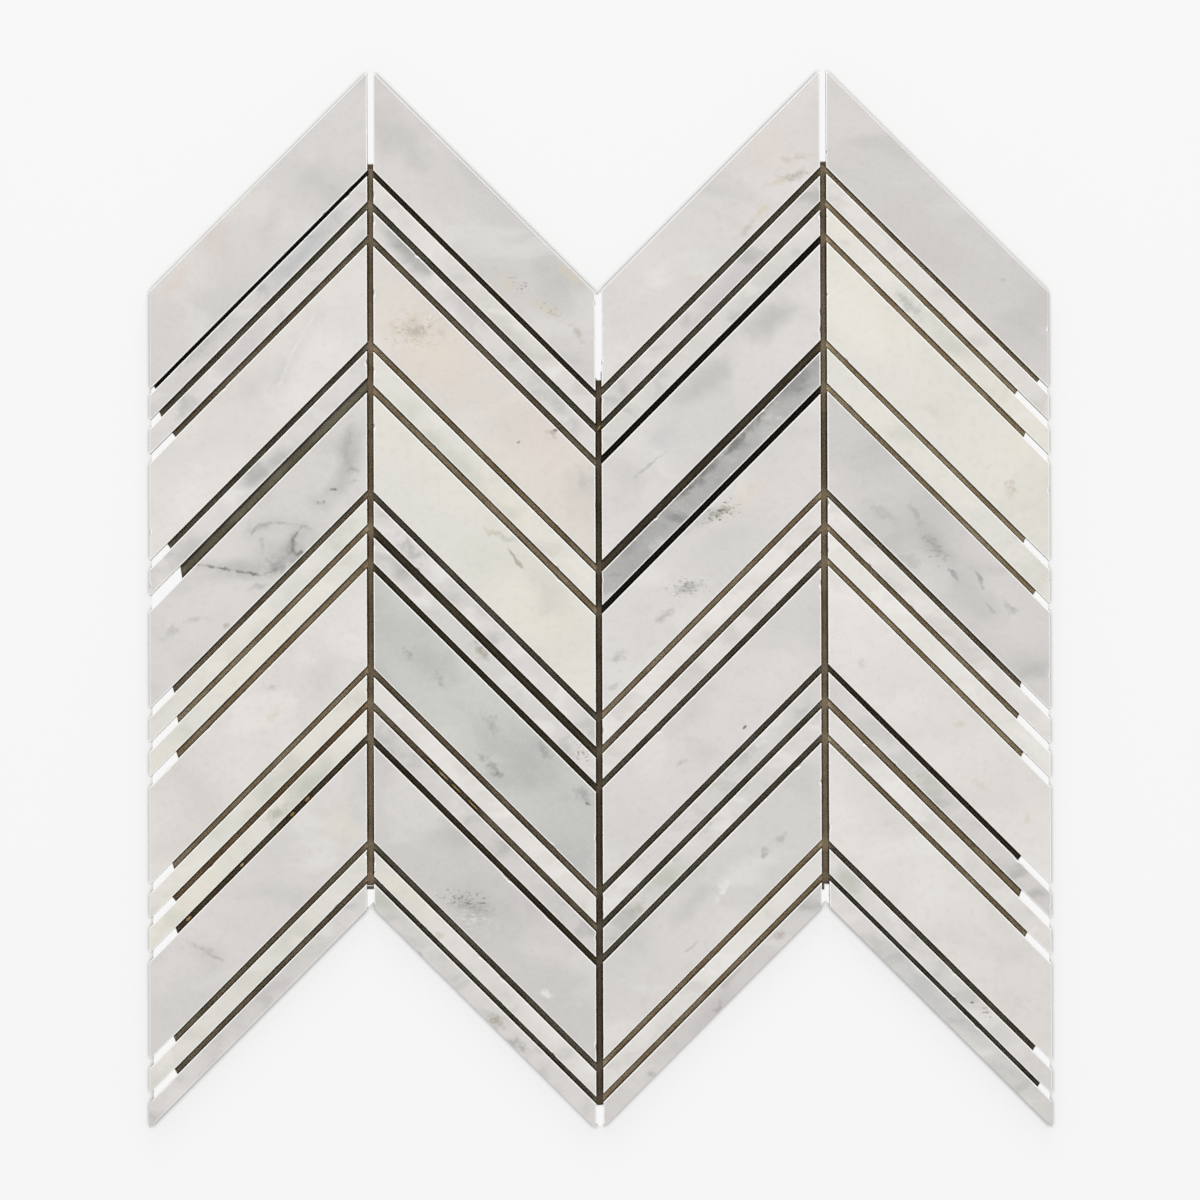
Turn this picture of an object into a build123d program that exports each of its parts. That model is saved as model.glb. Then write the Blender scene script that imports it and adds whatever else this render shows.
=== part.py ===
from build123d import *

import os

# Chevron mosaic sheet: marble bars laid in four columns on a thin mesh backing.
# It lies flat, polished faces up. X runs across the sheet, +Y towards the pointed top edge.
# The origin is on the underside of the backing, at the middle of the sheet.

# Sheet. Its length along Y follows from the widths of the bars and joints below.
backing_thickness = 0.6
marble_thickness = 9.4
eased_edge = 0.4

# Columns, left to right. The bars of one column were cut together, so each column has its own sizes.
# The width is along X. The sizes of wide, slim and strip bars and of the joint between two rows are
# square to the bars' long edges. Each row lies this much further to the right than the row above it.
seam_joint = 2.0
columns = [
    {"width": 73.2, "wide": 23.2, "slim": 6.1, "strip": 6.4, "joint": 2.0, "drift": -0.08},
    {"width": 74.2, "wide": 23.0, "slim": 6.1, "strip": 8.0, "joint": 2.0, "drift": -0.05},
    {"width": 73.5, "wide": 23.0, "slim": 6.1, "strip": 8.0, "joint": 2.0, "drift": -0.02},
    {"width": 74.4, "wide": 23.4, "slim": 6.3, "strip": 8.3, "joint": 1.8, "drift": 0.02},
]

# Rows, top to bottom, the same in every column
rows = [
    "wide", "slim", "slim",
    "wide", "strip",
    "wide", "slim", "slim",
    "wide", "slim", "slim",
    "wide", "slim", "slim",
]

# Where the hand-laid sheet departs from its own rule, by column and row
uneven_bars = {
    (1, 1): 23.4,
    (2, 1): 23.4,
    (3, 4): 22.8,
    (3, 10): 6.3,
    (4, 1): 23.0,
    (4, 13): 6.0,
}
uneven_joints = {
    (1, 1): 1.3,
    (1, 5): 3.5,
    (1, 8): 2.3,
    (2, 1): 1.7,
    (2, 5): 2.3,
    (2, 7): 2.6,
    (2, 13): 1.6,
    (3, 4): 2.7,
    (4, 1): 1.5,
    (4, 10): 2.3,
    (4, 13): 1.5,
}

# Backing: cut short of the sheet all round, and notched at every seam, where it just fills the
# crossing with the outermost row joint
side_inset = 8.5
top_inset = 14.0
bottom_inset = 3.0
top_notch_half_width = 9.0
bottom_notch_half_width = 4.0

# The bars lie at 45 degrees, so a width along Y is this much more than the width square to the bar
along_y = 2 ** 0.5


def drift_at(column, row):
    """How far to the right a bar lies of the one at the top of its column."""
    return columns[column - 1]["drift"] * (row - 1)


def bar_width(column, row):
    """The width of a bar, square to its long edges."""
    return uneven_bars.get((column, row), columns[column - 1][rows[row - 1]])


def joint_width(column, row):
    """The joint below a row, square to the bars."""
    return uneven_joints.get((column, row), columns[column - 1]["joint"])


def bar_spans(column):
    """The depth along Y of each bar's upper and lower edge, below the sheet's top outline."""
    spans = []
    depth = 0.0
    for row in range(1, len(rows) + 1):
        lower = depth + bar_width(column, row) * along_y
        spans.append((depth, lower))
        depth = lower + joint_width(column, row) * along_y
    return spans


def column_edges(left):
    """The left and right edge of each column at its top row, from the left edge of the sheet."""
    pairs = []
    for column in columns:
        pairs.append((left, left + column["width"]))
        left += column["width"] + seam_joint
    return pairs


# Across: the sheet is centred on X, with the spread of its lower rows taken in
spread_left = max(0.0, -drift_at(1, len(rows)))
spread_right = max(0.0, drift_at(len(columns), len(rows)))
bars_width = sum(column["width"] for column in columns) + seam_joint * (len(columns) - 1)
sheet_width = spread_left + bars_width + spread_right
edges = column_edges(-sheet_width / 2 + spread_left)
seams = [right + seam_joint / 2 for left, right in edges[:-1]]
peaks = [seams[0], seams[2]]


def peak_of(column):
    """The seam where a column's bars meet the next column's at the top of a chevron."""
    return peaks[0] if column <= 2 else peaks[1]


def lowest_depth(column):
    """How far the lowest corner of a column lies below the peaks of the outline."""
    reach = max(abs(edge - peak_of(column)) for edge in edges[column - 1])
    return reach + bar_spans(column)[-1][1]


# Along: the sheet is centred on Y, from its top corners, beside the peaks, to its lowest corner
highest = seam_joint / 2
lowest = max(lowest_depth(column) for column in range(1, len(columns) + 1))
peak_y = (highest + lowest) / 2
sheet_length = lowest - highest


def outline_y(x):
    """The zigzag top outline: it falls at 45 degrees from a peak at the first and at the third seam."""
    return peak_y - min(abs(x - peak) for peak in peaks)


def make_bar(column, row, span):
    """One marble bar: a sawn parallelogram with mitred ends and eased edges round its polished face."""
    left, right = edges[column - 1]
    left_y = outline_y(left)
    right_y = outline_y(right)
    upper, lower = span
    base = Plane(origin=(drift_at(column, row), 0, backing_thickness))
    with BuildPart() as bar:
        with BuildSketch(base):
            with BuildLine():
                Polyline(
                    (left, left_y - lower),
                    (right, right_y - lower),
                    (right, right_y - upper),
                    (left, left_y - upper),
                    close=True,
                )
            make_face()
        extrude(amount=marble_thickness)
        polished_face = bar.faces().sort_by(Axis.Z)[-1]
        chamfer(polished_face.edges(), length=eased_edge)
    name = f"column_{column}_row_{row:02d}_{rows[row - 1]}"
    if rows[row - 1] != "strip":
        name += "_bar"
    bar.part.label = name
    export_step(bar.part, f"parts/{name}.step")
    return bar.part


def notched_edge(row, depth, notch_depth, half_width):
    """Points from left to right along one zigzag edge of the backing, with a notch at each seam."""
    left = edges[0][0] + side_inset
    right = edges[-1][1] - side_inset
    points = [(left + drift_at(1, row), outline_y(left) - depth)]
    for column, seam in enumerate(seams, start=1):
        drift = (drift_at(column, row) + drift_at(column + 1, row)) / 2
        for x, y in (
            (seam - half_width, outline_y(seam - half_width) - depth),
            (seam, outline_y(seam) - notch_depth),
            (seam + half_width, outline_y(seam + half_width) - depth),
        ):
            points.append((x + drift, y))
    points.append((right + drift_at(len(columns), row), outline_y(right) - depth))
    return points


def make_backing(spans):
    """The mesh soaked in adhesive, as one thin sheet that follows the zigzag of the bars."""
    first_row_end = spans[0][1]
    last_row_start, stack_end = spans[-1]
    top = notched_edge(1, top_inset, first_row_end, top_notch_half_width)
    bottom = notched_edge(len(rows), stack_end - bottom_inset, last_row_start, bottom_notch_half_width)
    with BuildPart() as backing:
        with BuildSketch(Plane.XY):
            with BuildLine():
                Polyline(*top, *reversed(bottom), close=True)
            make_face()
        extrude(amount=backing_thickness)
    backing.part.label = "mesh_backing"
    export_step(backing.part, "parts/mesh_backing.step")
    return backing.part


os.makedirs("parts", exist_ok=True)

marble_volume = 0.0
for column in range(1, len(columns) + 1):
    for row, span in enumerate(bar_spans(column), start=1):
        marble_volume += make_bar(column, row, span).volume

backing_volume = make_backing(bar_spans(2)).volume

print(f"sheet {sheet_width:.1f} by {sheet_length:.1f} mm")
print(f"marble {marble_volume / 1000:.1f} cm3, backing {backing_volume / 1000:.1f} cm3")
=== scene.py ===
import math
from collections import namedtuple
from functools import partial
from itertools import groupby, product
from random import Random

import bpy
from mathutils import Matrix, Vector, noise


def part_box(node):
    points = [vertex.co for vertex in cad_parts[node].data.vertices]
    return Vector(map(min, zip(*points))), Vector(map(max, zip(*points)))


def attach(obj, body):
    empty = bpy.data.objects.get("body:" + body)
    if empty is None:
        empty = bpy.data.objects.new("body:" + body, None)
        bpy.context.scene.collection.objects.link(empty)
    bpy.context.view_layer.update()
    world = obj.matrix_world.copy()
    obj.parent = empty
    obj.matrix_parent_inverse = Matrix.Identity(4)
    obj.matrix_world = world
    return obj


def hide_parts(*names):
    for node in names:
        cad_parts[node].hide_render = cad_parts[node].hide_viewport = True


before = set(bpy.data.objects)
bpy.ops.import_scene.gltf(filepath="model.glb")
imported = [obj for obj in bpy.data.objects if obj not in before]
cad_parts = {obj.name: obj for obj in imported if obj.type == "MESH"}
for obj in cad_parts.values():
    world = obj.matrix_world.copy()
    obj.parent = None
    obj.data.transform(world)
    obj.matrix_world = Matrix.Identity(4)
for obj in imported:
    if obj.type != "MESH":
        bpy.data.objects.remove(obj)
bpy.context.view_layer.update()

# Sizes are in millimetres, and become metres where a mesh, a lamp or the camera is made
MM = 0.001

# Camera: straight down on the sheet, which lies a little anticlockwise in the picture
camera_height = 5000.0
picture_width = 402.0
picture_turn = math.radians(0.215)
picture_middle = (0.37, 0.07)
sensor_width = 36.0

# Light and floor
sky_strength = 0.80
lamp_size = 900.0
lamp_place = (0.0, 1100.0, 1000.0)
lamp_power = 7.5
floor_size = 6000.0
floor_shadow_share = 0.18
# The painted soft shadow where the sheet meets the floor, made by ambient occlusion in the floor's glow: its
# reach outside the sheet and in the open joints, the open share of the view at which it is darkest and gone,
# and its darkest brightness
contact_reach = 2.2
joint_contact_reach = 0.7
contact_span = (0.45, 0.92)
contact_dark = 0.36
outline_blur = 0.6

# Bars
edge_spacing = 0.7
eased_edge = 0.4
blunt_corner = (0.2, 0.35)
wall_waviness = 0.05
chips_per_bar = (2, 5)
# A chip's share of the way along its side, half its length, and its depth
chip_spans = ((0.08, 0.92), (0.4, 1.5), (0.15, 0.5))

# Adhesive: how far its ends stay behind the sheet's left and right edges in each row joint, from the top
left_film_ends = [1.2, 3.1, 7.5, 5.8, 10.2, 7.5, 9.1, 8.8, 7.5, 7.5, 8.6, 7.9, 8.3]
right_film_ends = [3.0, 10.4, 7.8, 8.0, 4.6, 9.5, 10.3, 9.0, 9.8, 9.8, 7.9, 5.3, 3.9]
# How far it reaches past the outermost row joints in each seam
seam_top_reach = [0.7, 2.4, 0.7]
seam_bottom_reach = 0.3
# The film under the bars: its mesh size, how far it stays behind the ends in the joints, how torn its
# edge is, and how near a side edge it follows those ends
film_cell = 2.0
film_margin = 2.4
film_tear = 0.6
side_band = 20.0
film_top = 0.58
film_bottom = 0.30
# The beds in the joints: shares of the way across and how far the resin climbs there, how far a bed goes
# under the bars at a seam, the spacing of its sections, and how slanted and ragged an open end is
bed_profile = ((0.0, 1.1), (0.19, 0.42), (0.34, 0.10), (0.66, 0.10), (0.81, 0.42), (1.0, 1.1))
bed_foot = film_bottom + 0.15
bed_overlap = 0.15
bed_step = 0.9
seam_step = 0.5
mouth_edge = 0.6
end_slant = 1.5
end_slant_reach = 4.0
end_ragged = 0.3
# The drops: shares of their size and the heights there
drop_profile = ((1.0, 2.0), (0.98, 5.4), (0.80, 6.6), (0.35, 7.2))
drop_sides = 10
# The mesh's threads
thread_pitch = 5.0
thread_half_width = 0.45
thread_half_thickness = 0.11
thread_wave = 0.06
thread_height = 0.19
thread_stray = 0.35

column_count = 4
row_count = 14
columns = range(1, column_count + 1)
rows = range(1, row_count + 1)


def srgb(red, green, blue):
    """The linear values of a colour as seen, from 0 to 255."""
    values = []
    for part in (red, green, blue):
        share = part / 255
        values.append(share / 12.92 if share <= 0.04045 else ((share + 0.055) / 1.055) ** 2.4)
    return (*values, 1.0)


class Shader:
    """One material, with the colour laid so far. Most calls add nodes and give the last one's output."""

    def __init__(self, name):
        self.material = bpy.data.materials.new(name)
        self.material.use_nodes = True
        self.tree = self.material.node_tree
        self.surface = self.tree.nodes["Principled BSDF"]
        self.colour = None

    def feed(self, socket, value):
        if isinstance(value, bpy.types.NodeSocket):
            self.tree.links.new(value, socket)
        else:
            socket.default_value = value

    def node(self, kind, inputs=(), **settings):
        made = self.tree.nodes.new(kind)
        for name, value in settings.items():
            setattr(made, name, value)
        for key, value in dict(inputs).items():
            self.feed(made.inputs[key], value)
        return made

    def place(self):
        """The place on the sheet, in millimetres."""
        coordinates = self.node("ShaderNodeTexCoord").outputs["Object"]
        return self.vector("SCALE", coordinates, Scale=1 / MM)

    def axes(self, place):
        return self.node("ShaderNodeSeparateXYZ", {"Vector": place}).outputs

    def vector(self, operation, first, second=None, **inputs):
        made = self.node("ShaderNodeVectorMath", {0: first, **inputs}, operation=operation)
        if second is not None:
            self.feed(made.inputs[1], second)
        gives_number = operation in ("LENGTH", "DISTANCE", "DOT_PRODUCT")
        return made.outputs["Value" if gives_number else "Vector"]

    def math(self, operation, first, second=0.0, third=0.0):
        made = self.node("ShaderNodeMath", {0: first, 1: second, 2: third}, operation=operation)
        return made.outputs["Value"]

    def noise(self, place, size, detail=3.0, roughness=0.5, distortion=0.0, output="Fac"):
        inputs = {"Vector": place, "Scale": 1 / size, "Detail": detail, "Roughness": roughness}
        inputs["Distortion"] = distortion
        return self.node("ShaderNodeTexNoise", inputs).outputs[output]

    def span(self, value, low, high, to_low=0.0, to_high=1.0, smooth=True):
        """Maps low to high onto to_low to to_high, and stops at the ends."""
        inputs = {"Value": value, "From Min": low, "From Max": high, "To Min": to_low, "To Max": to_high}
        kind = "SMOOTHSTEP" if smooth else "LINEAR"
        return self.node("ShaderNodeMapRange", inputs, interpolation_type=kind).outputs["Result"]

    def mix(self, share, *colours):
        """Goes from the first colour to the second. Each is a socket, or a colour as seen."""
        made = self.node("ShaderNodeMix", {"Factor": share}, data_type="RGBA")
        for number, colour in zip((6, 7), colours):
            self.feed(made.inputs[number], srgb(*colour) if isinstance(colour, tuple) else colour)
        return made.outputs[2]

    def mapped(self, place, scale, turn, shift=(0.0, 0.0, 0.0), kind="POINT"):
        turned = (0.0, 0.0, math.radians(turn))
        inputs = {"Vector": place, "Location": shift, "Rotation": turned, "Scale": scale}
        return self.node("ShaderNodeMapping", inputs, vector_type=kind).outputs["Vector"]

    def warp(self, place, size, reach):
        """Pushes the place about, so that what is drawn there gets uneven edges."""
        push = self.noise(place, size, detail=1.0, output="Color")
        centred = self.vector("SUBTRACT", push, (0.5, 0.5, 0.5))
        return self.vector("ADD", place, self.vector("SCALE", centred, Scale=reach))

    def lay(self, share, tint):
        """Lays a tint over a share of the colour."""
        self.colour = self.mix(share, self.colour, tint)

    def finish(self, roughness, height, depth, strength):
        """Gives the surface the colour, a gloss and a fine relief, and gives the material."""
        inputs = {"Height": height, "Distance": depth * MM, "Strength": strength}
        normal = self.node("ShaderNodeBump", inputs).outputs["Normal"]
        for name, value in (("Base Color", self.colour), ("Roughness", roughness), ("Normal", normal)):
            self.feed(self.surface.inputs[name], value)
        return self.material


# Marks in the stone. Each is an ellipse, long by wide, whose edge and inside are broken up
# by noise. It is turned anticlockwise from X, or lies along its bar where no turn is given. The strength
# is in percent.
Mark = namedtuple("Mark", "kind x y long wide tint strength turn", defaults=(None,))
# For each kind: the size of its noise, how much it counts, how fast the mark fades outwards, and the
# stretch over which it goes from nothing to full
Break = namedtuple("Break", "grain gain fall low high")
mark_kinds = {
    "cloud": Break(11.0, 1.1, 0.9, 0.45, 1.35),
    "smudge": Break(2.4, 1.7, 0.9, 0.60, 1.45),
    "vein": Break(2.6, 1.5, 1.0, 0.60, 1.20),
    "flecks": Break(1.0, 4.2, 0.7, 1.00, 1.60),
    "speck": Break(1.8, 0.6, 1.2, 0.60, 1.10),
}
cloud, smudge, vein, flecks, speck = (partial(Mark, kind) for kind in mark_kinds)
# For clouds, for the other marks and for lines: the size of the noise that pushes them about, and its reach
soft_warp = (14.0, 9.0)
torn_warp = (4.0, 2.4)
line_warp = (1.8, 1.3)
fleck_stretch = (0.6, 1.15, 1.0)
mark_height = 100.0
# A fine line in the stone through a row of places, with a soft halo
Line = namedtuple("Line", "places wide tint strength")
# Colours as seen, from 0 to 255, as in all tables: of the marks, the sawn stone, the resin, the yarn and
# the floor
ash = (188, 186, 182)
grey = (164, 163, 159)
dark = (98, 95, 90)
blue = (184, 186, 187)
slate = (142, 143, 142)
lilac = (198, 193, 193)
pink = (216, 200, 192)
peach = (227, 211, 196)
olive = (158, 153, 134)
moss = (193, 194, 183)
brown = (150, 136, 120)
rust = (150, 118, 92)
beige = (208, 198, 180)
cream = (228, 223, 205)
white = (238, 236, 232)
arris_pale_and_highlight = (255, 254, 251)
powder_pale = (214, 210, 202)
powder_dark = (194, 189, 179)
wall_stain = (118, 100, 72)
resin_soot = (70, 58, 40)
resin_wall_shade = (44, 30, 14)
yarn_clean = (206, 198, 178)
yarn_soaked = (158, 138, 98)
yarn_fibre = (118, 106, 82)
floor_white = (247, 247, 247)


def add_marks(shader, place, marks, along):
    """Draws a bar's marks one over another."""
    kinds = {mark.kind for mark in marks}
    soft = shader.warp(place, *soft_warp) if "cloud" in kinds else None
    torn = shader.warp(place, *torn_warp) if kinds != {"cloud"} else None
    textures = {}
    for kind in sorted(kinds):
        broken = mark_kinds[kind]
        grain = shader.vector("MULTIPLY", place, fleck_stretch) if kind == "flecks" else place
        texture = shader.noise(grain, broken.grain, detail=2.0, roughness=0.6)
        level = 0.5 - broken.gain / 2 + broken.fall
        textures[kind] = shader.math("MULTIPLY_ADD", texture, broken.gain, level)
    for mark in marks:
        broken = mark_kinds[mark.kind]
        warped = soft if mark.kind == "cloud" else torn
        size = (mark.long / 2, mark.wide / 2, mark_height)
        turn = along if mark.turn is None else mark.turn
        inside = shader.mapped(warped, size, turn, (mark.x, mark.y, 0.0), "TEXTURE")
        distance = shader.vector("LENGTH", inside)
        value = shader.math("MULTIPLY_ADD", distance, -broken.fall, textures[mark.kind])
        share = shader.span(value, broken.low, broken.high, 0.0, mark.strength / 100)
        shader.lay(share, mark.tint)


def distance_to(shader, place, places):
    """How far a place lies from the line through a row of places."""
    nearest = None
    for start, end in zip(places, places[1:]):
        way = Vector((end[0] - start[0], end[1] - start[1], 0.0))
        aim = tuple(way.normalized())
        offset = shader.vector("SUBTRACT", place, (*start, 0.0))
        along = shader.vector("DOT_PRODUCT", offset, aim)
        along = shader.span(along, 0.0, way.length, 0.0, way.length, smooth=False)
        away = shader.vector("DISTANCE", offset, shader.vector("SCALE", aim, Scale=along))
        nearest = away if nearest is None else shader.math("MINIMUM", nearest, away)
    return nearest


def add_lines(shader, place, lines):
    """Draws the fine lines, each a thin core that comes and goes in a soft halo."""
    flat = shader.vector("MULTIPLY", shader.warp(place, *line_warp), (1.0, 1.0, 0.0))
    presence = shader.noise(place, 3.0, detail=2.0)
    shown = shader.span(presence, 0.36, 0.58, 0.30, 1.0)
    frayed = shader.math("MULTIPLY_ADD", shader.noise(place, 1.4, detail=1.0), 1.2, -0.6)
    for line in lines:
        away = distance_to(shader, flat, line.places)
        halo = shader.span(away, line.wide * 6, 0.0, 0.0, line.strength * 0.55)
        shader.lay(shader.math("MULTIPLY", halo, presence), slate)
        away = shader.math("ADD", away, frayed)
        core = shader.span(away, line.wide, line.wide * 0.1, 0.0, line.strength)
        shader.lay(shader.math("MULTIPLY", core, shown), line.tint)


# The stone's tones: its body, what the body drifts to over the length of a bar, its clouds, its palest
# places, and how strong the clouds are
Tone = namedtuple("Tone", "body drift cloud light cover")
tones = {
    "white": Tone((231, 228, 223), (227, 223, 217), (216, 212, 206), (236, 233, 229), 0.40),
    "light": Tone((229, 225, 221), (223, 219, 215), (211, 208, 203), (235, 232, 228), 0.50),
    "pale": Tone((225, 221, 216), (219, 215, 210), (206, 203, 198), (232, 229, 224), 0.55),
    "grey": Tone((218, 214, 211), (212, 209, 205), (194, 192, 188), (229, 226, 222), 0.65),
    "ash": Tone((212, 208, 205), (205, 202, 199), (184, 182, 179), (221, 218, 214), 0.65),
    "cream": Tone((227, 223, 213), (222, 220, 212), (212, 210, 199), (230, 227, 219), 0.55),
    "peach": Tone((217, 212, 205), (222, 214, 206), (209, 203, 196), (227, 221, 214), 0.60),
    "cool": Tone((203, 203, 198), (195, 196, 192), (174, 175, 172), (212, 212, 207), 0.70),
    "slate": Tone((180, 179, 176), (170, 169, 167), (144, 144, 142), (202, 201, 198), 0.75),
}
# The bars of each tone, by column. All others are pale.
tone_bars = {
    "white": {4: [8]},
    "light": {2: [10], 3: [7, 13], 4: [9, 11]},
    "grey": {1: [3, 5, 6, 12, 14], 2: [3, 7, 8, 14], 3: [1, 3, 4, 6, 9, 10, 11, 12], 4: [13, 14]},
    "ash": {1: [1, 2], 2: [1, 11, 12], 3: [2, 14], 4: [1, 6, 10]},
    "cream": {1: [7, 8, 10, 11, 13], 2: [5, 6], 4: [3, 4, 5]},
    "peach": {2: [4]},
    "cool": {2: [9]},
    "slate": {3: [5]},
}

lines = {
    (1, 6): [
        Line([(-134, 12.4), (-124, 10.8), (-119, 9.8), (-113, 8.9), (-108, 10.4)], 0.7, dark, 0.75),
        Line([(-116, 22.9), (-114, 25.5), (-108.5, 26.5), (-102, 26), (-96.5, 24.6)], 0.9, slate, 0.40),
        Line([(-100, 24.5), (-102.2, 21), (-102.6, 17.5), (-100.8, 15.7)], 0.8, dark, 0.70),
        Line([(-113, 21), (-112.4, 15), (-108, 10.6)], 1.0, slate, 0.30),
        Line([(-94, 33), (-92, 33)], 1.0, dark, 0.75),
        Line([(-89, 37.5), (-88, 37.5)], 0.8, dark, 0.80),
        Line([(-84, 57), (-85, 50), (-83, 44)], 2.0, slate, 0.22),
    ],
    (3, 5): [
        Line([(62, 71), (52, 60), (44, 50)], 1.8, dark, 0.50),
        Line([(40, 48), (33, 40), (24, 33)], 2.0, dark, 0.50),
    ],
    (1, 4): [Line([(-107, 72), (-102, 84), (-95, 96)], 0.9, white, 0.40)],
}

# The marks and lines by column and row of their bar
marks = {}
marks[1, 1] = [
    cloud(-95, 143, 26, 9, ash, 35, 60), cloud(-110, 126, 26, 8, lilac, 50, 75),
    cloud(-127, 122, 16, 9, pink, 45, 40), cloud(-141, 107, 22, 8, pink, 50),
]
marks[1, 2] = [
    cloud(-100, 118, 48.4, 13, blue, 90), cloud(-128, 92, 34, 13, ash, 60),
    smudge(-135, 84, 26, 7.5, grey, 45),
]
marks[1, 3] = [cloud(-120, 82, 44, 13, lilac, 65)]
marks[1, 4] = [cloud(-138, 60, 22, 12, white, 30), cloud(-112, 74, 24, 12, ash, 25, 30)]
marks[1, 5] = [
    cloud(-105, 49, 22, 13, grey, 72), cloud(-115, 42, 16.5, 13, slate, 58),
    cloud(-138, 16, 19.8, 13, ash, 72),
]
marks[1, 6] = [
    cloud(-84, 48, 30, 12, grey, 50, 80), smudge(-83, 55, 16, 5, grey, 45, 75),
    smudge(-83, 44, 8, 3, olive, 60, 5), smudge(-82, 40, 7, 3, grey, 60, 5),
    cloud(-105, 17, 26, 16, grey, 75, 20), smudge(-104, 14, 20, 8, slate, 50, 10),
    smudge(-103, 19, 12, 5, dark, 30, 70), smudge(-108, 11, 12, 5, slate, 60, 5),
    smudge(-114, 5, 12, 3, grey, 55, 10), smudge(-102, 20, 10, 4, slate, 55, 75),
    smudge(-113, 25, 16, 4, grey, 45, 20), cloud(-120, 11, 30, 8, ash, 70, -8),
    speck(-100, 16, 2.4, 1.6, dark, 75, 30), smudge(-143, -10, 12, 5, grey, 45, 40),
    smudge(-136, -6, 14, 3, ash, 60, 10), smudge(-125, -8, 5, 3, olive, 60, 40),
]
marks[1, 7] = [cloud(-100, 5, 66, 13, moss, 20)]
marks[1, 8] = [cloud(-118, -26, 55, 13, cream, 45)]
marks[1, 9] = [
    smudge(-110, -29, 5, 3, ash, 78, 30), smudge(-109, -38, 9, 5, beige, 52),
    cloud(-92, -24, 30, 16, grey, 14, 50),
]
marks[1, 10] = [cloud(-110, -63, 40, 13, moss, 30)]
marks[1, 11] = [
    cloud(-98, -62, 33, 13, moss, 87), smudge(-108, -71, 16, 7.5, olive, 52),
    cloud(-135, -97, 28.6, 13, cream, 58),
]
marks[1, 12] = [
    cloud(-133, -118, 22, 12, lilac, 65, -20), smudge(-134, -116, 13, 3, brown, 39, -25),
    vein(-129, -119, 8, 1.6, grey, 48, -15), cloud(-85, -75, 20, 20, cream, 43, 60),
]
marks[1, 14] = [cloud(-118, -135, 66, 13, lilac, 65)]
marks[2, 1] = [
    cloud(-66, 155, 34, 20, ash, 60, -40), cloud(-12, 106, 30, 20, ash, 65, -50),
    smudge(-30, 106, 16, 8, beige, 60, -35), flecks(-26, 105, 12, 5, dark, 55, -40),
    smudge(-18, 98, 20, 7, beige, 60, -30), flecks(-16, 97, 13, 4, olive, 70, -30),
    smudge(-10, 110, 16, 5, beige, 75), smudge(-7, 89, 12, 4, olive, 45, -60),
]
marks[2, 2] = [cloud(-30, 91, 50.6, 13, moss, 51)]
marks[2, 3] = [cloud(-63, 118, 35.2, 13, slate, 65), cloud(-45, 100, 22, 13, lilac, 72)]
marks[2, 4] = [
    cloud(-52, 82, 44, 30, peach, 40), cloud(-24, 58, 44, 26, pink, 28),
    cloud(-4, 36, 20, 16, ash, 45, -60), smudge(-61, 91, 28, 17, beige, 80, 10),
    smudge(-60, 91, 13, 9, brown, 40, 20), flecks(-60, 91, 24, 14, olive, 85, 10),
    flecks(-57, 93, 22, 12, white, 70, 30), speck(-14, 57, 2.8, 1.8, dark, 85, 0),
    smudge(-15, 56, 6, 4, brown, 60, -30), speck(-27, 53, 1.8, 1.4, brown, 70, 20),
    smudge(-5, 40, 14, 5, ash, 35, -70),
]
marks[2, 5] = [cloud(-52, 48, 80, 14, moss, 55)]
marks[2, 6] = [
    smudge(-31, 21, 16, 4, moss, 91, -20), vein(-28, 14, 12, 2.2, olive, 72, -55),
    smudge(-36, 23, 9, 3, beige, 78, -20), cloud(-18, 4, 26, 16, moss, 36, -50),
]
marks[2, 7] = [
    smudge(-63, 17, 18, 9, grey, 59), cloud(-37, -2, 26.4, 13, lilac, 80),
    smudge(-28, -9, 14, 6, grey, 45),
]
marks[2, 8] = [
    cloud(-65, 9, 17.6, 13, grey, 65), smudge(-39, -17, 10, 7.5, olive, 85),
    smudge(-21, -30, 12, 7.5, grey, 72, -50), flecks(-6, -51, 14, 10, olive, 90),
]
marks[2, 9] = [
    cloud(-56, -20, 34, 18, slate, 30), cloud(-22, -52, 40, 20, slate, 25),
    smudge(-64, -18, 9, 4, slate, 60, -50), smudge(-53, -27, 10, 4, slate, 50, -60),
    smudge(-36, -41, 14, 6, slate, 45, -65), smudge(-37, -55, 15, 6, slate, 65, -50),
    smudge(-34, -58, 8, 3, dark, 45, -40), smudge(-19, -50, 14, 5, slate, 55, -60),
    smudge(-6, -65, 12, 5, slate, 65), speck(-4, -68, 3, 1.6, dark, 60, -30),
]
marks[2, 10] = [cloud(-30, -54, 44, 13, cream, 58)]
marks[2, 11] = [cloud(-60, -43, 28.6, 13, lilac, 72), smudge(-32, -70, 26, 7.5, grey, 52)]
marks[2, 12] = [
    cloud(-49, -79, 22, 14, ash, 60, -20), cloud(-40, -103, 40, 16, ash, 55, -30),
    smudge(-43, -103, 22, 12, grey, 60, -25), flecks(-45, -101, 24, 12, dark, 75, -15),
    flecks(-43, -106, 20, 9, white, 65, -25), cloud(-26, -102, 22, 12, lilac, 50, -40),
    smudge(-18, -132, 9, 4, white, 75, -20),
]
marks[2, 13] = [cloud(-65, -97, 35.2, 13, cream, 72), smudge(-54, -112, 5, 3.8, beige, 78, 30)]
marks[2, 14] = [
    cloud(-72, -101, 14.3, 13, moss, 95, -30), smudge(-35, -141, 11, 6, olive, 78),
    smudge(-28, -149, 13, 6, grey, 78, -35),
]
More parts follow.
